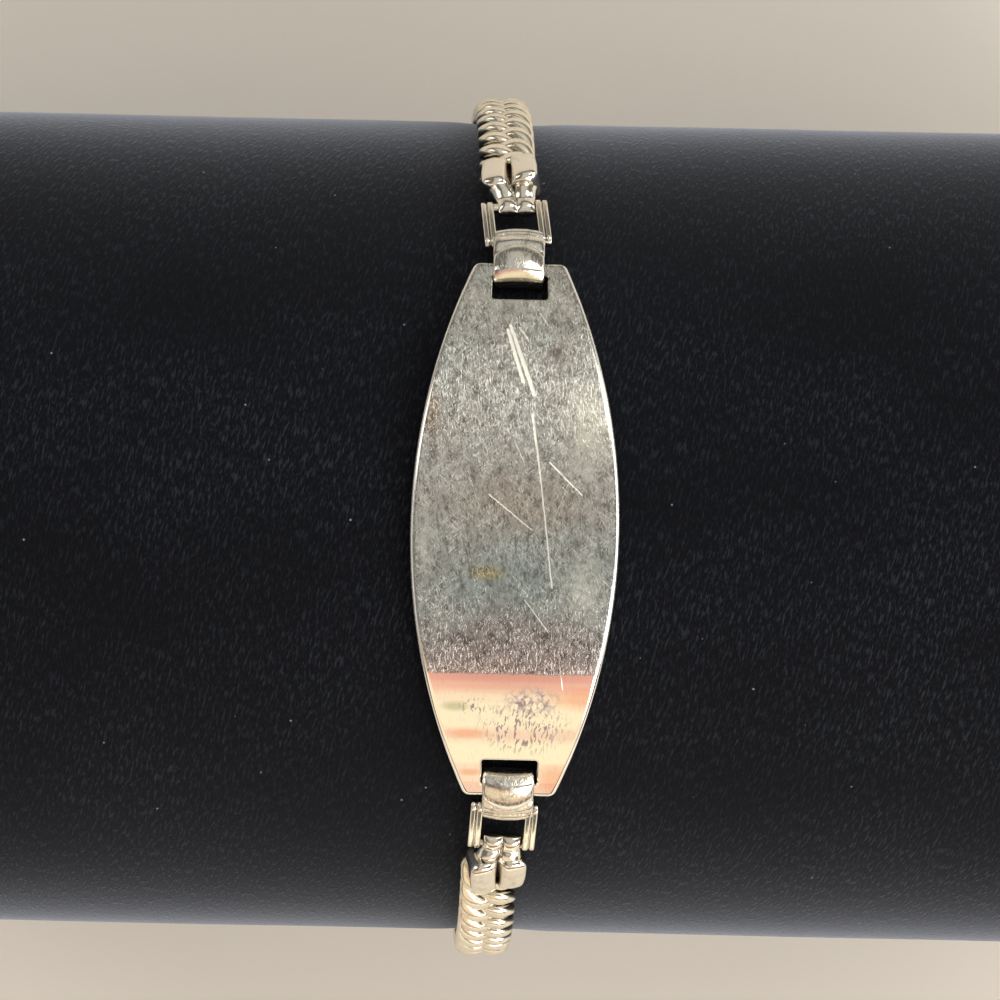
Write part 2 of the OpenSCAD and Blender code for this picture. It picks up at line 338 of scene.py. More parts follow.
class Look:
    """Makes one node material by short calls. Each call gives the socket of its result."""

    def __init__(self, name):
        self.material = bpy.data.materials.new(name)
        self.material.use_nodes = True
        self.tree = self.material.node_tree
        self.tree.nodes.clear()
        self.bsdf = self.tree.nodes.new("ShaderNodeBsdfPrincipled")
        output = self.tree.nodes.new("ShaderNodeOutputMaterial")
        self.tree.links.new(self.bsdf.outputs["BSDF"], output.inputs["Surface"])

    def put(self, socket, value):
        if isinstance(value, bpy.types.NodeSocket):
            self.tree.links.new(value, socket)
        elif socket.type == "RGBA":
            socket.default_value = (*value, 1) if len(value) == 3 else value
        else:
            socket.default_value = value

    def node(self, kind, inputs, **settings):
        node = self.tree.nodes.new(kind)
        for key, value in settings.items():
            setattr(node, key, value)
        for key, value in inputs.items():
            self.put(node.inputs[key], value)
        return node

    def set(self, **inputs):
        for key, value in inputs.items():
            self.put(self.bsdf.inputs[key.replace("_", " ")], value)

    def place(self):
        """The place on the object in millimetres."""
        coordinates = self.node("ShaderNodeTexCoord", {}).outputs["Object"]
        return self.vector("SCALE", coordinates, scale=1 / MM)

    def vector(self, operation, a, b=None, scale=None):
        inputs = {0: a}
        if b is not None:
            inputs[1] = b
        if scale is not None:
            inputs["Scale"] = scale
        node = self.node("ShaderNodeVectorMath", inputs, operation=operation)
        return node.outputs["Value" if operation in ("DOT_PRODUCT", "LENGTH") else "Vector"]

    def math(self, operation, a, b=0.0, c=0.0, clamp=False):
        node = self.node("ShaderNodeMath", {0: a, 1: b, 2: c}, operation=operation, use_clamp=clamp)
        return node.outputs[0]

    def highest(self, first, *others):
        for other in others:
            first = self.math("MAXIMUM", first, other)
        return first

    def split(self, vector):
        return self.node("ShaderNodeSeparateXYZ", {0: vector}).outputs

    def join(self, x, y, z):
        return self.node("ShaderNodeCombineXYZ", {0: x, 1: y, 2: z}).outputs[0]

    def noise(self, vector, scale=1.0, detail=2.0, rough=0.5):
        inputs = {"Vector": vector, "Scale": scale, "Detail": detail, "Roughness": rough}
        return self.node("ShaderNodeTexNoise", inputs).outputs["Fac"]

    def cells(self, vector, scale=1.0, feature="F1"):
        inputs = {"Vector": vector, "Scale": scale}
        return self.node("ShaderNodeTexVoronoi", inputs, feature=feature).outputs

    def span(self, value, low, high, to_low=0.0, to_high=1.0):
        """A value from one range carried over to another, held at its ends."""
        inputs = {"Value": value, "From Min": low, "From Max": high, "To Min": to_low, "To Max": to_high}
        return self.node("ShaderNodeMapRange", inputs, clamp=True).outputs["Result"]

    def mix(self, share, a, b, blend="MIX"):
        node = self.node("ShaderNodeMix", {}, data_type="RGBA", blend_type=blend)
        self.put(node.inputs[0], share)
        self.put(node.inputs[6], a)
        self.put(node.inputs[7], b)
        return node.outputs[2]

    def bump(self, height, depth, strength=1.0):
        inputs = {"Height": height, "Distance": depth * MM, "Strength": strength}
        return self.node("ShaderNodeBump", inputs).outputs["Normal"]

    def strokes(self, place, angle, across, along, low, high):
        """Short fine strokes that run at an angle from Y: a stretched noise, cut off above a level."""
        inputs = {"Vector": place, "Rotation": (0, 0, math.radians(angle)), "Scale": (across, along, along)}
        stretched = self.node("ShaderNodeMapping", inputs, vector_type="TEXTURE").outputs[0]
        return self.span(self.noise(stretched, rough=0.6), low, high)

    def near_line(self, place, start, end, half_width, fade):
        """One on a straight scratch between two points and nought beside it."""
        run = end - start
        offset = self.vector("SUBTRACT", place, tuple(start))
        reached = self.vector("DOT_PRODUCT", offset, tuple(run))
        share = self.math("DIVIDE", reached, run.length_squared, clamp=True)
        nearest = self.vector("SCALE", tuple(run), scale=share)
        distance = self.vector("LENGTH", self.vector("SUBTRACT", offset, nearest))
        return self.span(distance, half_width + fade, half_width)

    def near_spot(self, place, centre, half_x, half_y, inner, outer):
        """One inside an oval and nought outside it, with a soft edge."""
        offset = self.vector("SUBTRACT", place, (centre.x, centre.y, 0))
        oval = self.vector("MULTIPLY", offset, (1 / half_x, 1 / half_y, 0))
        return self.span(self.vector("LENGTH", oval), outer, inner)


# Short strokes on the plate. A stroke starts at one level of the noise and is full at the other
STROKES = {
    # name: angle from Y, width, length, start, full
    "fine": (4, 0.11, 0.5, 0.575, 0.66),
    "short": (9, 0.09, 0.35, 0.60, 0.70),
    "lean_left": (27, 0.10, 0.5, 0.59, 0.68),
    "lean_right": (-23, 0.10, 0.5, 0.59, 0.68),
    "cross_left": (48, 0.08, 0.9, 0.61, 0.66),
    "cross_right": (-50, 0.08, 0.9, 0.61, 0.66),
    "dark": (7, 0.16, 0.7, 0.46, 0.36),
    "tarnish": (-10, 0.18, 0.65, 0.54, 0.58),
}

# Long scratches on the plate: where they start and end in the picture, half width and strength
SCRATCHES = [
    # from_x, from_y, to_x, to_y, half_width, strength
    (508, 330, 524, 382, 0.11, 1.0),
    (511, 326, 535, 395, 0.12, 1.0),
    (520, 328, 529, 341, 0.06, 0.8),
    (533, 414, 541, 480, 0.07, 1.0),
    (541, 480, 552, 588, 0.06, 0.95),
    (550, 462, 582, 495, 0.05, 0.9),
    (489, 494, 532, 530, 0.04, 0.9),
    (525, 600, 548, 632, 0.04, 0.8),
    (559, 655, 563, 690, 0.03, 0.3),
    (468, 470, 482, 515, 0.03, 0.6),
    (568, 485, 552, 525, 0.03, 0.6),
    (452, 524, 468, 541, 0.03, 0.5),
    (541, 314, 548, 325, 0.05, 0.7),
    (515, 440, 524, 462, 0.03, 0.5),
]

# Tinted places on the plate: where they are in the picture, half sizes, colour and share. Some are painted
# reflection and one is painted shade
TINTS_AND_PAINTED_LIGHT = [
    # x, y, half_x, half_y, colour, share
    (430, 410, 0.8, 1.8, (1.0, 0.84, 0.74), 0.8),
    (515, 500, 6.5, 2.6, (0.95, 0.87, 0.81), 0.7),
    (487, 573, 1.4, 0.55, (1.25, 0.98, 0.58), 0.8),
    # The next five are painted reflection: colours of the bands that the polished part mirrors
    (455, 706, 1.1, 0.40, (0.62, 0.66, 0.56), 0.9),
    (467, 733, 1.6, 0.42, (0.98, 0.72, 0.62), 0.9),
    (470, 772, 0.9, 0.3, (0.96, 0.66, 0.54), 0.9),
    (554, 780, 1.2, 1.2, (0.97, 0.72, 0.62), 0.9),
    (588, 700, 3.0, 0.9, (0.97, 0.68, 0.60), 0.95),
    # The next one is painted shade that darkens the low matt part
    (515, 648, 7.5, 3.2, (0.74, 0.66, 0.66), 0.8),
    (505, 585, 5.5, 2.6, (0.80, 0.88, 0.89), 0.7),
    (558, 352, 0.8, 0.7, (0.62, 0.52, 0.52), 0.6),
]

# Hazy bright places on the plate: where they are in the picture, half sizes and share
HAZES = [
    # x, y, half_x, half_y, share
    (590, 425, 1.7, 3.8, 0.8),
    (583, 590, 1.5, 2.2, 0.75),
    (424, 545, 0.6, 2.6, 0.6),
    (520, 300, 5.0, 1.2, 0.3),
]

# Tarnished places on the plate: where they are in the picture, half sizes, inner and outer edge
TARNISH_NET = (532, 702, 1.9, 1.0, 0.5, 1.15)
TARNISH_MARKS = (524, 727, 3.1, 1.9, 0.6, 1.1)
TARNISH_SPECKS = (474, 706, 1.0, 0.7, 0.5, 1.1)

# The row of the picture below which the plate is polished
POLISHED_ROW = 674

# Pale colour of rubbed strokes, also used as the painted highlight on the plate's rounded edge
RUBBED_AND_HIGHLIGHT = (0.97, 0.95, 0.88)
BARE_SCRATCH = (1.0, 0.98, 0.88)


def plate_look():
    """Silver-tone metal, matt with short strokes above a line and polished below it."""
    look = Look("scratched_plate")
    flat_place = look.vector("MULTIPLY", look.place(), (1, 1, 0))
    wobble = look.node("ShaderNodeTexNoise", {"Vector": flat_place, "Scale": 0.9}).outputs["Color"]
    wobble = look.vector("SCALE", look.vector("SUBTRACT", wobble, (0.5, 0.5, 0.5)), scale=0.09)
    place = look.vector("ADD", flat_place, wobble)
    crooked = look.vector("ADD", place, look.vector("SCALE", wobble, scale=5.0))
    x, y, _ = look.split(flat_place)

    def strokes(name, where=place):
        return look.strokes(where, *STROKES[name])

    # Nought on the polished part and one on the rest, with a wavy line between them
    line_y = on_plate(515, POLISHED_ROW).y
    wave = look.math("MULTIPLY", look.noise(flat_place, 0.5), 0.25)
    worn = look.span(look.math("ADD", y, wave), line_y + 0.07, line_y + 0.17)

    fine, dark = strokes("fine"), strokes("dark")
    crossing = look.highest(strokes("cross_left"), strokes("cross_right"))
    light = look.highest(fine, strokes("short"), strokes("lean_left"), strokes("lean_right"))
    light = look.math("MULTIPLY", look.math("MAXIMUM", light, crossing), 0.8)
    crowd = look.span(look.noise(place, 0.55, 3.0, 0.6), 0.35, 0.60, 0.35, 1.0)
    light = look.math("MULTIPLY", light, crowd)
    light = look.math("MULTIPLY", light, look.span(worn, 0, 1, 0.08, 1.0))
    dark = look.math("MULTIPLY", dark, look.span(worn, 0, 1, 0.12, 1.0))
    fine = look.math("MULTIPLY", fine, look.span(worn, 0, 1, 0.06, 1.0))

    # Painted highlight: the rounded edge is painted bright
    reach = look.math("SQRT", look.math("SUBTRACT", PLATE_SIDE_R ** 2, look.math("MULTIPLY", y, y)))
    reach = look.math("ADD", reach, PLATE_HALF_W - PLATE_SIDE_R)
    edge_highlight = look.span(look.math("SUBTRACT", reach, look.math("ABSOLUTE", x)), 0.34, 0.26)

    # Tone: broad patches, and a mottle of the size of the strokes
    warm, cool = (0.42, 0.390, 0.350), (0.44, 0.455, 0.425)
    dull, pale = (0.15, 0.14, 0.125), (0.74, 0.73, 0.66)
    patches = look.noise(place, 0.22, 3.0, 0.6)
    tone = look.mix(look.span(patches, 0.35, 0.65), warm, cool)
    mottle = look.noise(look.vector("MULTIPLY", place, (1.0, 0.6, 1.0)), 1.5, 4.0, 0.7)
    tone = look.mix(look.span(mottle, 0.50, 0.64, 0.0, 0.85), tone, dull)
    tone = look.mix(look.span(mottle, 0.46, 0.30, 0.0, 0.55), tone, pale)
    colour = look.mix(look.math("MULTIPLY", dark, 0.75), tone, (0.19, 0.175, 0.155))
    colour = look.mix(light, colour, RUBBED_AND_HIGHLIGHT)
    polished = look.mix(look.math("MULTIPLY", dark, 0.9), (0.92, 0.88, 0.80), (0.45, 0.38, 0.32))
    colour = look.mix(worn, polished, colour)
    # Tints, of which some are painted reflection and one is painted shade
    for px, py, half_x, half_y, tint, share in TINTS_AND_PAINTED_LIGHT:
        spot = look.near_spot(place, on_plate(px, py), half_x, half_y, 0.4, 1.1)
        colour = look.mix(look.math("MULTIPLY", spot, share), colour, tint, "MULTIPLY")
    for px, py, half_x, half_y, share in HAZES:
        haze = look.near_spot(place, on_plate(px, py), half_x, half_y, 0.2, 1.2)
        cloud = look.span(look.noise(place, 1.6, 4.0, 0.7), 0.3, 0.7, 0.2, 1.0)
        haze = look.math("MULTIPLY", haze, cloud)
        colour = look.mix(look.math("MULTIPLY", haze, share), colour, (0.95, 0.92, 0.80))

    # Dark tarnish in a fine broken net, and short dark strokes round it
    def tarnished(px, py, *sizes):
        return look.near_spot(place, on_plate(px, py), *sizes)

    net = look.cells(look.vector("MULTIPLY", crooked, (1.0, 0.8, 1.0)), 2.3, "DISTANCE_TO_EDGE")[0]
    net = look.math("MULTIPLY", tarnished(*TARNISH_NET), look.span(net, 0.20, 0.09))
    spread = look.span(look.noise(place, 1.5, 4.0, 0.65), 0.40, 0.54)
    round_it = look.math("MAXIMUM", tarnished(*TARNISH_MARKS), tarnished(*TARNISH_SPECKS))
    marks = look.math("MULTIPLY", strokes("tarnish", crooked), round_it)
    tarnish = look.math("MAXIMUM", look.math("MULTIPLY", net, spread), look.math("MULTIPLY", marks, 0.95))
    colour = look.mix(look.math("MULTIPLY", tarnish, 0.9), colour, (0.24, 0.17, 0.19))
    # Painted highlight along the rounded edge
    colour = look.mix(look.math("MULTIPLY", edge_highlight, 0.7), colour, RUBBED_AND_HIGHLIGHT)

    rough = look.math("ADD", look.span(worn, 0, 1, 0.05, 0.20), look.math("MULTIPLY", light, 0.16))
    rough = look.math("ADD", rough, look.math("MULTIPLY", tarnish, 0.4))
    height = look.math("SUBTRACT", look.math("MULTIPLY", dark, -0.5), look.math("MULTIPLY", fine, 0.6))
    height = look.math("MULTIPLY", height, look.math("SUBTRACT", 1.0, edge_highlight))
    for from_x, from_y, to_x, to_y, half_width, strength in SCRATCHES:
        start, end = on_plate(from_x, from_y), on_plate(to_x, to_y)
        start.z = end.z = 0
        line = look.near_line(place, start, end, half_width * 0.7, half_width * 0.6)
        line = look.math("MULTIPLY", line, strength)
        colour = look.mix(line, colour, BARE_SCRATCH)
        rough = look.math("MAXIMUM", rough, look.math("MULTIPLY", line, 0.45))
        height = look.math("SUBTRACT", height, line)
    look.set(Metallic=1.0, Base_Color=colour, Roughness=rough, Normal=look.bump(height, 0.012, 0.6))
    return look.material


def fitting_look(name, tint, dirt, level, worn, gloss=0.10, hollow=0.5):
    """Polished warm metal with fine scratches, dirt in patches, and painted shade in hollows narrower than
    a width.
    """
    look = Look(name)
    place = look.place()
    light = look.highest(look.strokes(place, 10, 0.1, 0.5, 0.56, 0.66),
                         look.strokes(place, -25, 0.09, 0.4, 0.59, 0.68))
    grime = look.span(look.noise(place, 1.3, 4.0, 0.65), 0.52, 0.7)
    colour = look.mix(look.math("MULTIPLY", grime, level), tint, dirt)
    colour = look.mix(look.math("MULTIPLY", light, worn), colour, (0.97, 0.94, 0.86))
    # Painted shade: the colour turns dark brown in hollows that ambient occlusion finds
    openness = look.node("ShaderNodeAmbientOcclusion", {"Distance": hollow * MM}, samples=4).outputs["AO"]
    colour = look.mix(look.span(openness, 0.75, 0.25), colour, (0.11, 0.085, 0.065))
    rough = look.span(light, 0, 1, gloss, gloss + 0.3 * worn)
    rough = look.math("ADD", rough, look.math("MULTIPLY", grime, 0.10))
    look.set(Metallic=1.0, Base_Color=colour, Roughness=rough, Normal=look.bump(light, -0.01, 0.8 * worn))
    return look.material


def velvet_look():
    """Dark velvet whose nap is brushed in streaks round the roll, with a little lint."""
    look = Look("navy_velvet")
    deep, raised, lint_colour = (0.0008, 0.0012, 0.0030), (0.019, 0.022, 0.030), (0.50, 0.51, 0.54)
    x, y, z = look.split(look.place())
    round_angle = look.math("ARCTAN2", y, look.math("SUBTRACT", z, AXIS_Z))
    unrolled = look.join(x, look.math("MULTIPLY", round_angle, ROLL_R), 0.0)
    nap = look.strokes(unrolled, -13, 0.19, 0.85, 0.52, 0.68)
    fine_nap = look.strokes(unrolled, -8, 0.12, 0.4, 0.50, 0.72)
    broad = look.noise(look.vector("MULTIPLY", unrolled, (0.05, 0.09, 1.0)), 1.0, 3.0)
    streak = look.math("ADD", nap, look.math("MULTIPLY", fine_nap, 0.6))
    streak = look.math("MULTIPLY", streak, look.span(look.span(broad, 0.35, 0.65), 0, 1, 0.25, 1.0))
    colour = look.mix(streak, deep, raised)
    lint_cells = look.cells(unrolled, 0.55)
    lint = look.span(lint_cells["Distance"], 0.055, 0.02)
    # Only a few of the cells hold a speck
    lint = look.math("MULTIPLY", lint, look.span(look.split(lint_cells["Color"])[0], 0.70, 0.72))
    colour = look.mix(look.math("MULTIPLY", lint, 0.5), colour, lint_colour)
    look.set(Base_Color=colour, Roughness=0.92, Specular_IOR_Level=0.15, Sheen_Weight=0.95,
             Sheen_Roughness=0.33, Sheen_Tint=(0.70, 0.77, 0.93, 1), Normal=look.bump(nap, 0.05, 0.5))
    return look.material


def floor_look():
    """Pale uneven card."""
    look = Look("pale_card")
    place = look.place()
    patches = look.span(look.noise(place, 0.02, 3.0), 0.3, 0.7)
    colour = look.mix(patches, (0.79, 0.735, 0.665), (0.83, 0.775, 0.705))
    grain = look.noise(place, 2.0, 3.0, 0.6)
    look.set(Base_Color=colour, Roughness=0.8, Normal=look.bump(grain, 0.05, 0.2))
    return look.material


# The pieces


def display_roll(material):
    """The padded roll: round, pressed flat underneath, with a groove where the chain and clasp lie."""
    around, along, edge_steps = 360, 180, 8
    inner_half = ROLL_HALF - ROLL_EDGE
    stops = []
    for i in range(edge_steps + 1):
        t = math.radians(90 * i / edge_steps)
        stops.append((-inner_half - ROLL_EDGE * math.cos(t), ROLL_EDGE * (1 - math.sin(t))))
    inner = [(-inner_half + 2 * inner_half * i / along, 0) for i in range(1, along)]
    stops += inner + [(-x, drop) for x, drop in reversed(stops)]
    rings = [[roll_point(x, 2 * math.pi * k / around, drop) for k in range(around)] for x, drop in stops]
    shape = Shape()
    shape.add(*loft(rings))
    roll = shape.piece("velvet_roll", material, "velvet", "display_roll")


def roll_point(x, angle, drop):
    """A point of the roll's skin at a place along it and an angle from its top."""
    pressed_x, pressed_w, pad, uneven = -1.0, 3.2, 0.16, 0.10
    pressed = math.exp(-((x - pressed_x) / pressed_w) ** 4)
    wave = uneven * noise.noise(Vector((x * 0.05, 2.2 * math.cos(angle), 2.2 * math.sin(angle))))
    radius = ROLL_R - drop + (pad + wave) * (1 - pressed)
    y, z = radius * math.sin(angle), AXIS_Z + radius * math.cos(angle)
    floor_z, groove_half_w, groove_z = 0.0, 2.6, 2.8
    if abs(x - lean_shift(groove_z + 0.2)) < groove_half_w:
        inner_r = BEND_Z - groove_z
        past = min(max(abs(y) - BEND_Y, 0), inner_r)
        floor_z = BEND_Z - math.sqrt(inner_r ** 2 - past ** 2) if past < inner_r else 0.0
    # Only the underside is flattened
    if math.cos(angle) < -0.5:
        z = max(z, floor_z)
    return (x, y, z)


def plate_width(s):
    """Half the width of the plate at a length from its middle, before its corners are rounded."""
    y = PLATE_R * math.sin(s / PLATE_R)
    return PLATE_HALF_W - PLATE_SIDE_R + math.sqrt(PLATE_SIDE_R ** 2 - y * y)


def edge_distance(x, s):
    """How far a place on the plate lies from its outline and from the nearer slot."""
    side, end = plate_width(s) - abs(x), PLATE_HALF_L - abs(s)
    outline = min(side, end)
    if side < PLATE_CORNER and end < PLATE_CORNER:
        outline = PLATE_CORNER - math.hypot(PLATE_CORNER - side, PLATE_CORNER - end)
    slot_middle, slot_half = (SLOT_NEAR + SLOT_FAR) / 2, (SLOT_FAR - SLOT_NEAR) / 2
    past_x = max(abs(x) - SLOT_HALF_W + SLOT_CORNER, 0)
    past_s = max(abs(abs(s) - slot_middle) - slot_half + SLOT_CORNER, 0)
    return outline, math.hypot(past_x, past_s) - SLOT_CORNER


def rounded(corner, distance):
    """How much a round corner takes off at a distance from the end."""
    past = corner - distance
    return corner - math.sqrt(max(corner ** 2 - past ** 2, 0)) if past > 0 else 0.0


def plate_rows():
    """Lengths from the middle of the plate at which its mesh has a row, closer near every edge."""
    near_edge = [0.03, 0.08, 0.15, 0.24, 0.34, 0.45]
    in_corner = [0.015, 0.05, 0.1, 0.15, 0.2]
    plain = 36
    half = [(SLOT_NEAR - near_edge[-1]) * i / plain for i in range(plain + 1)]
    half += [SLOT_NEAR - e for e in reversed(near_edge[:-1])] + [SLOT_NEAR]
    half += [SLOT_NEAR + e for e in in_corner] + [SLOT_FAR - e for e in reversed(in_corner)] + [SLOT_FAR]
    half += [SLOT_FAR + e for e in near_edge]
    half += [PLATE_HALF_L - e for e in reversed(near_edge)] + [PLATE_HALF_L]
    return [-s for s in reversed(half[1:])] + half


def id_plate(material):
    """The bent plate with round edges, cut out with a slot near each end."""
    rows = plate_rows()
    near_edge = [0, 0.03, 0.08, 0.15, 0.24, 0.34, 0.45]
    near_slot = [0.3, 0.2, 0.12, 0.05, 0]
    plain, over = 6, 6
    needed = near_edge[-1] + near_slot[0] + 0.1
    # How wide and how high each edge is rounded: outline and slot, on top and underneath
    top_edge, top_slot, under_edge, under_slot = (0.34, 0.27), (0.11, 0.1), (0.15, 0.12), (0.1, 0.08)

    def row_places(s):
        """The X of every column in one row."""
        end = PLATE_HALF_L - abs(s)
        width = plate_width(s) - rounded(PLATE_CORNER, end)
        slot = SLOT_HALF_W - rounded(SLOT_CORNER, min(abs(s) - SLOT_NEAR, SLOT_FAR - abs(s)))
        if not SLOT_NEAR <= abs(s) <= SLOT_FAR:
            slot = SLOT_HALF_W - SLOT_CORNER
        fit = min(1.0, (width - slot) / needed)
        outer, inner = width - fit * near_edge[-1], slot + fit * near_slot[0]
        half = [width - fit * e for e in near_edge]
        half += [outer + (inner - outer) * i / plain for i in range(1, plain)]
        half += [slot + fit * e for e in near_slot]
        middle = [-slot + 2 * slot * i / over for i in range(1, over)]
        return [-x for x in half] + middle + list(reversed(half))

    columns = [row_places(s) for s in rows]
    beside = len(near_edge) + plain - 1 + len(near_slot)
    count = len(columns[0])
    points, index, faces = [], {}, []

    def point(row, column, top):
        key = (row, column, top)
        if key not in index:
            x, s = columns[row][column], rows[row]
            outline, slot = edge_distance(x, s)
            if top:
                drop = max(fall(outline, *top_edge), fall(slot, *top_slot))
            else:
                drop = -max(fall(outline, *under_edge), fall(slot, *under_slot))
            radius = (PLATE_R if top else PLATE_R - PLATE_T) - drop
            a = s / PLATE_R
            index[key] = len(points)
            points.append((x, radius * math.sin(a), AXIS_Z + radius * math.cos(a)))
        return index[key]

    def solid(row, column):
        if not (0 <= row < len(rows) - 1 and 0 <= column < count - 1):
            return False
        middle = abs(rows[row] + rows[row + 1]) / 2
        return not (beside - 1 <= column < beside - 1 + over and SLOT_NEAR < middle < SLOT_FAR)

    # The corners of a cell that its edge to each neighbour runs between
    edges = {(-1, 0): ((0, 0), (0, 1)), (1, 0): ((1, 0), (1, 1)),
             (0, -1): ((0, 0), (1, 0)), (0, 1): ((0, 1), (1, 1))}
    for row in range(len(rows) - 1):
        for column in range(count - 1):
            if not solid(row, column):
                continue
            cell = [(row, column), (row, column + 1), (row + 1, column + 1), (row + 1, column)]
            for top in (True, False):
                faces.append([point(r, c, top) for r, c in cell])
            for (down, across), ((r1, c1), (r2, c2)) in edges.items():
                if not solid(row + down, column + across):
                    start, end = (row + r1, column + c1), (row + r2, column + c2)
                    wall = [(*start, True), (*end, True), (*end, False), (*start, False)]
                    faces.append([point(*place) for place in wall])
    shape = Shape()
    shape.add(points, faces)
    shape.piece("scratched_id_plate", material, "plate_metal", "id_plate")


def bail_profile(u, curl_y):
    """The closed side view of the bail at a share u of its half width: Y along the loop and Z outwards."""
    crown, crown_r = (-0.45, -1.9), 3.05
    ridge_y, arch_top_y, arch_y, step = -1.70, 0.35, 0.35 - 0.9 * u * u, 0.24
    curl, curl_r = (curl_y, -0.05), NECK_R
    dome_steps, front_steps, strap_steps, curl_steps = 14, 5, 7, 18

    def dome(y):
        share = (y - ridge_y) / (arch_top_y - ridge_y)
        sag = 0.30 + 0.18 * min(max(share, 0), 1)
        return crown[1] + math.sqrt(crown_r ** 2 - (y - crown[0]) ** 2) - sag * u * u

    profile = [(-1.9, -0.95), (-2.08, -0.85), (-2.17, -0.6), (-2.19, -0.35)]
    top = dome(ridge_y)
    # The front face is nearly flat and leans back to the ridge
    low = (-2.17, -0.2)
    high = (ridge_y - 0.06, top - 0.08)
    for i in range(front_steps + 1):
        t = i / front_steps
        bulge = 0.04 * math.sin(math.pi * t)
        profile.append((low[0] + (high[0] - low[0]) * t - bulge, low[1] + (high[1] - low[1]) * t))
    profile += [(ridge_y - 0.02, top - 0.02)]
    for i in range(dome_steps + 1):
        y = ridge_y + 0.05 + (arch_y - 0.03 - ridge_y - 0.05) * i / dome_steps
        profile.append((y, dome(y)))
    high = dome(arch_y)
    profile += [(arch_y, high - 0.03), (arch_y + 0.02, high - 0.1), (arch_y + 0.04, high - step)]
    # The strap behind the arch bends down to the bar and curls round it
    curl_start, curl_end = 112, -95
    rim_y = curl[0] + curl_r * math.cos(math.radians(curl_start))
    rim_z = curl[1] + curl_r * math.sin(math.radians(curl_start))
    from_y, from_z = arch_y + 0.09, high - step - 0.02
    for i in range(strap_steps):
        t = i / strap_steps
        bulge = 0.16 * math.sin(math.pi * t)
        profile.append((from_y + (rim_y - from_y) * t, from_z + (rim_z - from_z) * t + bulge))
    bow = 0.10 * u * u
    profile += [(y - 2 * bow, z - bow) for y, z in arc(curl, curl_r, curl_start, curl_end, curl_steps)]
    profile += [(0.9, -0.9), (-0.6, -0.95)]
    return profile


def bail(end, material, front_material):
    """The strap through the plate's slot: a raised dome, and a curl round the frame link's bar."""
    half_w, edge = 1.76, 0.2
    middle_y, half_length, half_height = -0.2, 2.3, 0.9
    from_side = [0, 0.02, 0.06, 0.12, 0.2, 0.4, 0.65, 0.95, 1.3]
    stops = [half_w - d for d in from_side]
    stops = [-x for x in stops] + [0.0] + list(reversed(stops))
    rings = []
    for x in stops:
        inset = rounded(edge, half_w - abs(x))
        along, out = 1 - inset / half_length, 1 - inset / half_height
        profile = bail_profile(x / half_w, end.curl_y)
        rings.append([(x, middle_y + (y - middle_y) * along, z * out) for y, z in profile])
    shape = Shape()
    shape.add(*loft(rings), at_angle(end.side, end.bail_angle, BAR_CIRCLE_R, end.bail_x))
    obj = shape.piece(f"crowned_bail_{end.name}", material, "fitting_metal", f"bail_{end.name}")
    # The upper bail's front is polished and its dome is scratched
    front_lean = -0.2
    if end.side > 0:
        obj.data.materials.append(front_material)
        for polygon in obj.data.polygons:
            if polygon.normal.y < front_lean:
                polygon.material_index = 1


def stadium(length, height, steps=12):
    """Points of a long outline with half-round ends."""
    half = (length - height) / 2
    return arc((half, 0), height / 2, -90, 90, steps) + arc((-half, 0), height / 2, 90, 270, steps)


def strip(start, end, drop):
    """One strip of a side bar: flat, with round long edges."""
    edge = 0.12
    rings = []
    for share in (0, 0.1, 0.3, 0.6, 1):
        inset = drop + edge - math.sqrt(edge ** 2 - (edge * (1 - share)) ** 2)
        ring = stadium(FRAME_LENGTH - 2 * inset, FRAME_H - 2 * inset)
        rings.append([(start + edge * share, y, z) for y, z in ring])
    mirrored_rings = [[(start + end - x, y, z) for x, y, z in ring] for ring in reversed(rings)]
    return loft(rings + mirrored_rings)


def frame_link(end, material):
    """The rectangular link between a bail and an end cap: two side bars and two cross bars."""
    shape = Shape()
    place = at_angle(end.side, end.frame_angle, BAR_CIRCLE_R, end.frame_x, end.frame_yaw)
    inner, outer = FRAME_GAP / 2, FRAME_W / 2
    lowered = place @ Matrix.Translation((0, 0, -0.035))
    # Each side bar is an inner strip, an outer strip and a sunk web that joins them
    strips = [(inner, inner + 0.41, 0.0), (inner + 0.47, outer, 0.04), (inner + 0.3, outer - 0.3, 0.13)]
    for start, stop, drop in strips:
        for side in (-1, 1):
            points, faces = strip(start, stop, drop)
            shape.add([(side * x, y, z) for x, y, z in points], faces, lowered)
    section, sunk_in = arc((0, 0), BAR_R, 0, 345, 23), 0.2
    for angle in (BAIL_BAR_ANGLE, CAP_BAR_ANGLE):
        a = math.radians(angle - FRAME_ANGLE)
        bar = Matrix.Translation((0, BAR_CIRCLE_R * math.sin(a), BAR_CIRCLE_R * (math.cos(a) - 1)))
        rings = [[(x, y, z) for y, z in section] for x in (-inner - sunk_in, inner + sunk_in)]
        shape.add(*loft(rings), place @ bar)
    shape.piece(f"barred_frame_{end.name}", material, "fitting_metal", f"frame_link_{end.name}")


def pillows():
    """Two flat pillows side by side, with a fold pressed in between and scalloped ends."""
    half = (CAP_W / 2, CAP_LENGTH / 2, CAP_T / 2)
    scallop, scallop_from, taper, sink, slope_w = 0.30, 0.4, 0.07, 0.10, 0.9
    fold_depth, narrow_w, widening = 0.62 * 0.75, 0.11, 0.08
    points, faces = puffed_box(half, 7.0, 36)
    pressed = []
    for x, y, z in points:
        along = y / half[1]
        from_middle = (abs(x) - half[0] / 2) / (half[0] / 2)
        hump = max(0.0, 1 - from_middle ** 2)
        y -= scallop * hump * max(0.0, -along - scallop_from)
        x *= 1 - taper * max(0.0, along)
        if z > 0:
            fold_w = narrow_w + widening * (1 - along)
            fold = fold_depth * math.exp(-(abs(x) / fold_w) ** 1.5)
            slope = sink * max(0.0, 1 - abs(x) / slope_w)
            z -= z * fold + z * slope
        pressed.append((x, y, z))
    return pressed, faces


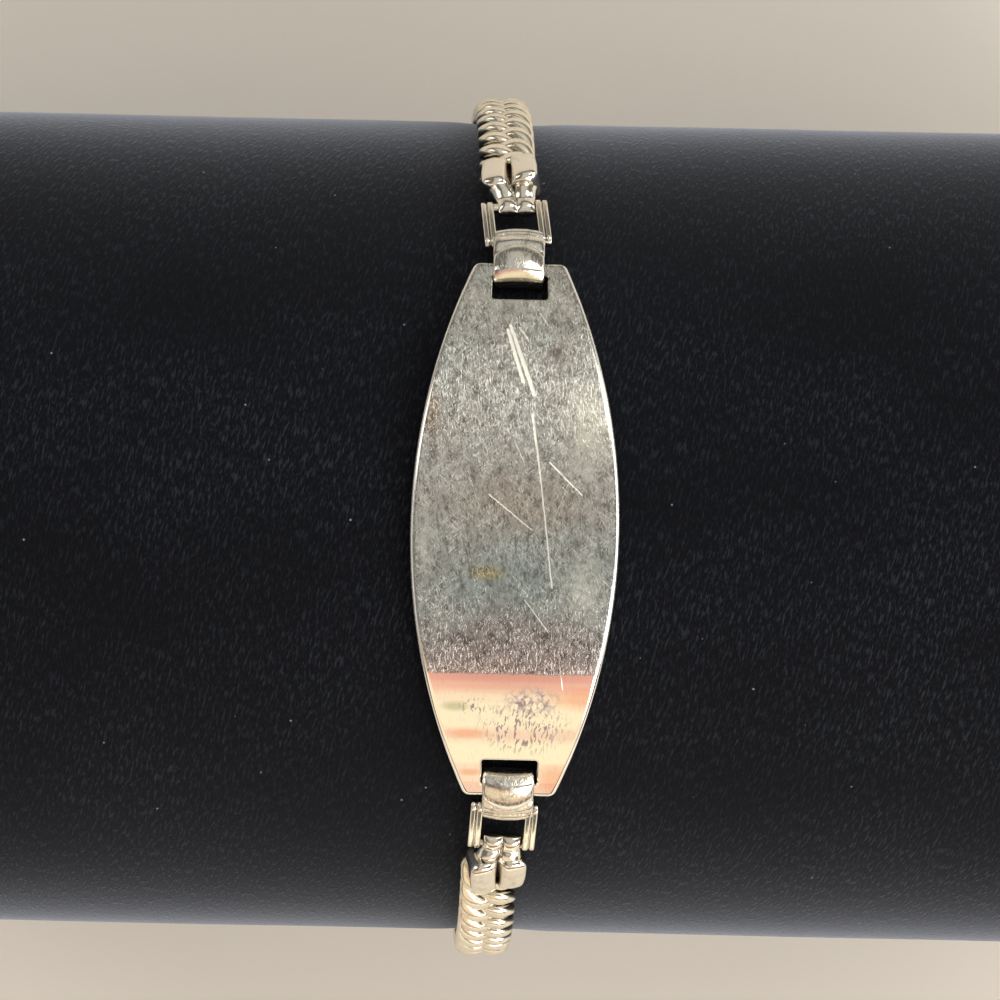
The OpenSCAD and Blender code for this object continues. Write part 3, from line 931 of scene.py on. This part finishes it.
def neck_lobe(side, bar, pillow):
    """One lobe of the neck: rolled round the frame's bar, and flaring where it enters its pillow."""
    rings = []
    end_steps, neck_steps, count, roundness = 7, 16, 32, 2.15
    for i in range(1, end_steps):
        t = math.radians(90 * i / end_steps)
        half_w = LOBE_HALF_W * (0.80 + 0.20 * math.sin(t))
        y, half_t = bar.y - NECK_R * math.cos(t), NECK_R * math.sin(t)
        rings.append((y, bar.x + side * LOBE_APART, bar.z, half_w, half_t))
    for i in range(neck_steps + 1):
        t = i / neck_steps
        flare = t ** 2.2
        # A shallow waist parts the rolled end from the swelling in front of the pillow
        waist = 0.06 * math.exp(-((t - 0.22) / 0.12) ** 2)
        swell = 0.05 * math.exp(-((t - 0.50) / 0.2) ** 2) + 0.24 * flare
        half_w = LOBE_HALF_W + 0.20 * flare - 0.5 * waist
        x = bar.x + side * (LOBE_APART + 0.38 * flare) + (pillow.x - bar.x) * t
        y = bar.y + (pillow.y - bar.y) * t
        z = bar.z + (pillow.z - bar.z) * t - 0.5 * waist
        rings.append((y, x, z, half_w, NECK_R - waist + swell))
    skin = []
    for y, x, z, half_w, half_t in rings:
        skin.append([(x + u, y, z + v) for u, v in puffed_ring(half_w, half_t, roundness, count)])
    return loft(skin)


def end_cap(end, material):
    """The cap that is crimped over the chain's end: two pillows, and a neck of two lobes."""
    shape = Shape()
    yaw = lean_yaw(end.cap_angle)
    place = at_angle(end.side, end.cap_angle, LOOP_R, end.cap_x, yaw)
    rolled = turn(-CAP_ROLL, "Y")
    shape.add(*pillows(), place @ rolled)
    a = math.radians(end.cap_bar_angle - end.cap_angle)
    # The neck is drawn in the pillows' frame, so its shift from them is turned with the half of the loop
    neck_shift, in_pillow, pillow_z = 0.45, 0.45, 0.1
    bar = Vector((end.side * (end.neck_x - end.cap_x - neck_shift), BAR_CIRCLE_R * math.sin(a),
                  BAR_CIRCLE_R * math.cos(a) - LOOP_R))
    pillow = Vector((0, in_pillow - CAP_LENGTH / 2, pillow_z))
    for side in (-1, 1):
        shape.add(*neck_lobe(side, bar, pillow), place)
    shape.piece(f"pillow_cap_{end.name}", material, "fitting_metal", f"end_cap_{end.name}")


def link_form(steps, sides):
    """One closed link: a flat oval of thick wire, twisted so that its neighbours pass through it."""
    section = puffed_ring(1.0, WIRE_HALF_T, WIRE_POWER, sides)
    phase = math.radians(LINK_PHASE)
    points = []
    for i in range(steps):
        t = 2 * math.pi * i / steps
        sine, cosine, twisted = math.sin(t), math.cos(t), 2 * t + phase
        centre = Vector((LINK_HALF_W * sine, LINK_HALF_L * cosine, LINK_TWIST * math.sin(twisted)))
        ahead = Vector((LINK_HALF_W * cosine, -LINK_HALF_L * sine, 2 * LINK_TWIST * math.cos(twisted)))
        beside = ahead.normalized().cross(Vector((0, 0, 1))).normalized()
        up = beside.cross(ahead.normalized())
        # The wire is narrower where it turns round the side of the chain
        half_w = WIRE_HALF_W * (WIRE_SIDE_SHARE + (1 - WIRE_SIDE_SHARE) * abs(cosine))
        points += [centre + half_w * u * beside + v * up for u, v in section]
    return points, ring_faces(steps, sides)


def chain(end, material):
    """The links of one half of the loop, from the cap to the clasp."""
    shape = Shape()
    points, faces = link_form(48, 16)
    sunk = Matrix.Translation((0, 0, -CHAIN_SINK))
    for angle, y, z in loop_stations(end.cap_angle):
        held = max(0.0, 1 - (angle - end.cap_angle) / CHAIN_SETTLE)
        shift = lean_shift(z) + held * end.chain_x
        move = Matrix.Translation((end.side * shift, y, z))
        along = half_turn(end.side) @ move @ turn(-angle, "X") @ turn(end.side * lean_yaw(angle), "Z")
        shape.add(points, faces, along @ turn(-held * CHAIN_ROLL, "Y") @ sunk)
    shape.piece(f"curb_links_{end.name}", material, "chain_metal", f"chain_{end.name}")


def floor():
    """A plain square that the roll lies on. Its half side is in metres."""
    half = 1.5
    corners = [(-half, -half, 0), (half, -half, 0), (half, half, 0), (-half, half, 0)]
    mesh = bpy.data.meshes.new("floor")
    mesh.from_pydata(corners, [], [(0, 1, 2, 3)])
    mesh.materials.append(floor_look())
    obj = bpy.data.objects.new("floor", mesh)
    bpy.context.scene.collection.objects.link(obj)


def area_light(name, place, target, width, height, colour, radiance):
    """A soft box. radiance is how bright its face looks, so its power follows its size."""
    data = bpy.data.lights.new(name, "AREA")
    data.shape = "RECTANGLE"
    data.size = width * MM
    data.size_y = height * MM
    data.color = colour
    data.energy = radiance * math.pi * data.size * data.size_y
    obj = bpy.data.objects.new(name, data)
    bpy.context.scene.collection.objects.link(obj)
    obj.location = MM * Vector(place)
    obj.rotation_euler = (Vector(target) - Vector(place)).to_track_quat("-Z", "Y").to_euler()
    obj.visible_camera = False


# What the plate mirrors between two rows of the picture: colour, brightness, and width in millimetres
BANDS = [
    # from_y, to_y, colour, radiance, width
    (248, 330, (1.0, 0.98, 0.89), 0.45, 430),
    (330, 430, (1.0, 0.98, 0.90), 0.43, 430),
    (430, 530, (1.0, 0.94, 0.88), 0.55, 430),
    (530, 640, (0.97, 0.99, 0.93), 0.43, 430),
    (640, 673, (1.0, 0.88, 0.88), 0.26, 430),
    (673, 682, (1.0, 0.40, 0.28), 0.74, 1200),
    (682, 690, (1.0, 0.49, 0.33), 0.82, 1200),
    (690, 694, (1.0, 0.62, 0.41), 0.86, 1200),
    (694, 703, (1.0, 0.78, 0.52), 0.88, 1200),
    (703, 727, (1.0, 0.86, 0.57), 0.92, 1200),
    (727, 731, (1.0, 0.78, 0.52), 0.90, 1200),
    (731, 740, (1.0, 0.68, 0.45), 0.86, 1200),
    (740, 744, (1.0, 0.80, 0.53), 0.90, 1200),
    (744, 768, (1.0, 0.88, 0.57), 0.93, 1200),
    (768, 780, (1.0, 0.74, 0.50), 0.90, 1200),
    (780, 800, (1.0, 0.60, 0.42), 0.86, 1200),
]


# The other soft boxes: where they are, what they point at, sizes, colour and brightness
LOOP_TOP = (0, 0, 50)
BOXES = [
    # name, place, target, width, height, colour, radiance
    ("low_cream", (0, -740, 20), LOOP_TOP, 1200, 140, (1.0, 0.90, 0.68), 1.5),
    ("key", (228, 440, 560), LOOP_TOP, 190, 340, (1.0, 0.985, 0.94), 4.0),
    ("right", (620, 60, 330), LOOP_TOP, 1000, 420, (1.0, 0.98, 0.92), 2.6),
    ("left", (-660, 0, 260), LOOP_TOP, 900, 260, (1.0, 0.92, 0.84), 0.7),
    ("floor_low", (440, -560, 640), (80, -300, 0), 520, 520, (0.96, 0.98, 1.0), 4.3),
    ("floor_high", (-700, 440, 560), (-100, 300, 0), 420, 420, (1.0, 0.95, 0.89), 2.2),
]


def lights():
    """A dim even room, the bands that the plate mirrors, and the soft boxes round the roll."""
    world = bpy.data.worlds.new("soft_room")
    bpy.context.scene.world = world
    world.use_nodes = True
    background = world.node_tree.nodes["Background"]
    background.inputs["Color"].default_value = (0.20, 0.193, 0.18, 1)
    background.inputs["Strength"].default_value = 1.0
    distance, middle_x = 700, 515
    for i, (from_y, to_y, colour, radiance, width) in enumerate(BANDS):
        near, far = mirrored(middle_x, from_y, distance), mirrored(middle_x, to_y, distance)
        target = on_plate(middle_x, (from_y + to_y) / 2)
        area_light(f"band_{i}", (near + far) / 2, target, width, (far - near).length, colour, radiance)
    for box in BOXES:
        area_light(*box)


camera()
bpy.context.scene.view_settings.view_transform = "Standard"

plate_metal = plate_look()
bail_metal = fitting_look("scratched_bail", (0.70, 0.665, 0.59), (0.22, 0.19, 0.15), 0.75, 0.42, 0.12, 0.9)
fitting_metal = fitting_look("polished_fitting", (0.78, 0.73, 0.63), (0.34, 0.27, 0.18), 0.35, 0.15)
chain_metal = fitting_look("polished_chain", (0.84, 0.77, 0.63), (0.42, 0.33, 0.22), 0.35, 0.15, 0.20)

display_roll(velvet_look())
id_plate(plate_metal)
for half in (UPPER, LOWER):
    bail(half, bail_metal, fitting_metal)
    frame_link(half, fitting_metal)
    end_cap(half, fitting_metal)
    chain(half, chain_metal)
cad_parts["clasp"].data.materials.clear()
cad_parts["clasp"].data.materials.append(fitting_metal)

floor()
lights()
